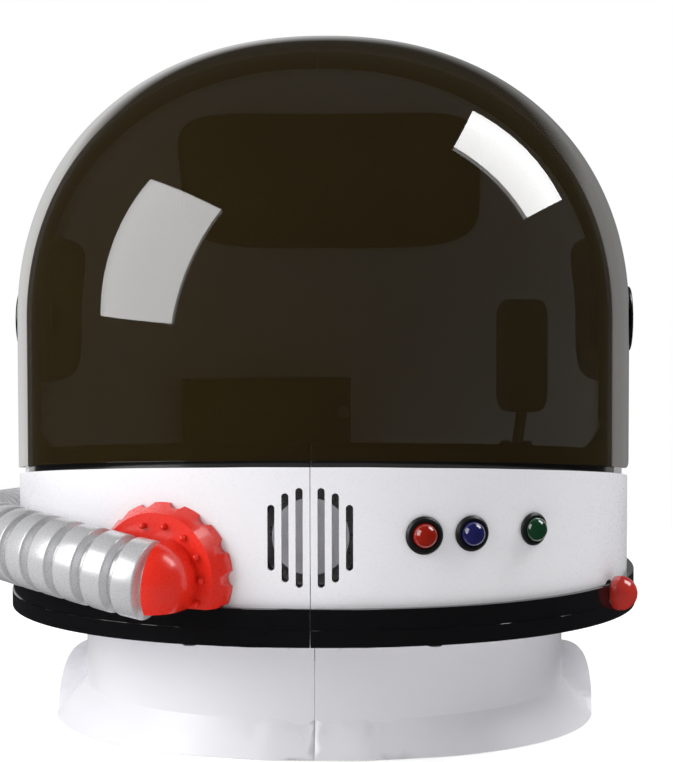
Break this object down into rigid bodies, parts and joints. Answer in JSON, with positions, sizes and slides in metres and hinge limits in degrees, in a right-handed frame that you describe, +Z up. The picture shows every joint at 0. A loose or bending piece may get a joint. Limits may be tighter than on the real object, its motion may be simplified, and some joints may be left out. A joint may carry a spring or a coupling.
{
  "type": "toy astronaut helmet",
  "caption": "Domed play helmet with a turning smoke visor, a ribbed side hose, push buttons, a speaker grille and a flared neck collar.",
  "frame": {"origin": "middle of the whole helmet's bounding box, hose included, at the floor it stands on", "axes": "+Z up, -Y towards the front (the visor), +X to the right as seen from the front"},
  "size_m": [0.3036, 0.2982, 0.299],
  "materials": {
    "shell_white": "satin",
    "collar_white": "satin",
    "visor_smoke": "clear, glossy",
    "trim_black": "glossy",
    "rim_black": "glossy",
    "hose_grey": "satin",
    "fitting_red": "glossy",
    "button_red": "glossy",
    "button_blue": "glossy",
    "button_green": "glossy",
    "ball_red": "glossy",
    "inner_black": "matt",
    "inner_white": "satin",
    "foam_black": "open foam",
    "board_green": "satin",
    "chip_black": "matt",
    "steel": "bright",
    "paper_cone": "matt",
    "battery_jacket": "glossy"
  },
  "bodies": {
    "helmet": {"shell_left": "shell_white", "shell_right": "shell_white", "trim_left": "trim_black", "trim_right": "trim_black", "pivot_cap_left": "trim_black", "pivot_cap_right": "trim_black", "pivot_washers": "inner_black", "pivot_screws": "steel", "rim_left": "rim_black", "rim_right": "rim_black", "collar_left": "collar_white", "collar_right": "collar_white", "rim_screws": "steel", "hose": "hose_grey", "hose_connector_front": "fitting_red", "hose_connector_rear": "fitting_red", "button_ring_red": "rim_black", "button_ring_blue": "rim_black", "button_ring_green": "rim_black", "button_spring_red": "steel", "button_spring_blue": "steel", "button_spring_green": "steel", "ball_socket": "inner_black", "ball_spring": "steel", "chin_cover": "inner_white", "button_board": "board_green", "sound_board": "board_green", "sound_chip": "chip_black", "speaker_frame": "steel", "speaker_cone": "paper_cone", "speaker_magnet": "steel", "battery_box": "inner_black", "battery_cover": "inner_black", "battery_cover_screw": "steel", "batteries": "battery_jacket", "battery_contacts": "steel", "power_switch_body": "inner_black", "mic_base": "inner_black", "mic_pin": "steel", "crown_pad": "foam_black", "side_pad_left": "foam_black", "side_pad_right": "foam_black"},
    "visor": {"visor": "visor_smoke"},
    "red_button": {"button_red": "button_red"},
    "blue_button": {"button_blue": "button_blue"},
    "green_button": {"button_green": "button_green"},
    "ball": {"ball_button": "ball_red"},
    "microphone": {"mic_stalk": "inner_black", "mic_capsule": "foam_black"},
    "switch_knob": {"power_switch_knob": "inner_black"}
  },
  "joints": [
    {"name": "visor_tilt", "type": "hinge", "parent": "helmet", "child": "visor", "pos_m": [0.014, 0.00427, 0.174], "axis": [-1, 0, 0], "range_deg": [0, 75]},
    {"name": "red_press", "type": "slide", "parent": "helmet", "child": "red_button", "axis": [-0.2603, 0.9655, 0], "range_m": [0, 0.0015], "stiffness_N_per_m": 400, "springref_m": -0.002, "deforming": ["button_spring_red"]},
    {"name": "blue_press", "type": "slide", "parent": "helmet", "child": "blue_button", "axis": [-0.3987, 0.9171, 0], "range_m": [0, 0.0015], "stiffness_N_per_m": 400, "springref_m": -0.002, "deforming": ["button_spring_blue"]},
    {"name": "green_press", "type": "slide", "parent": "helmet", "child": "green_button", "axis": [-0.6011, 0.7992, 0], "range_m": [0, 0.0015], "stiffness_N_per_m": 400, "springref_m": -0.002, "deforming": ["button_spring_green"]},
    {"name": "ball_press", "type": "slide", "parent": "helmet", "child": "ball", "axis": [-0.8944, 0.4474, 0], "range_m": [0, 0.001], "stiffness_N_per_m": 400, "springref_m": -0.002, "deforming": ["ball_spring"]},
    {"name": "mic_swing", "type": "hinge", "parent": "helmet", "child": "microphone", "pos_m": [0.09453, -0.0843, 0.1222], "axis": [-0.9811, 0.1936, 0], "range_deg": [-8, 15]},
    {"name": "power_switch_slide", "type": "slide", "parent": "helmet", "child": "switch_knob", "axis": [-0.9776, -0.2105, 0], "range_m": [0, 0.004]}
  ]
}
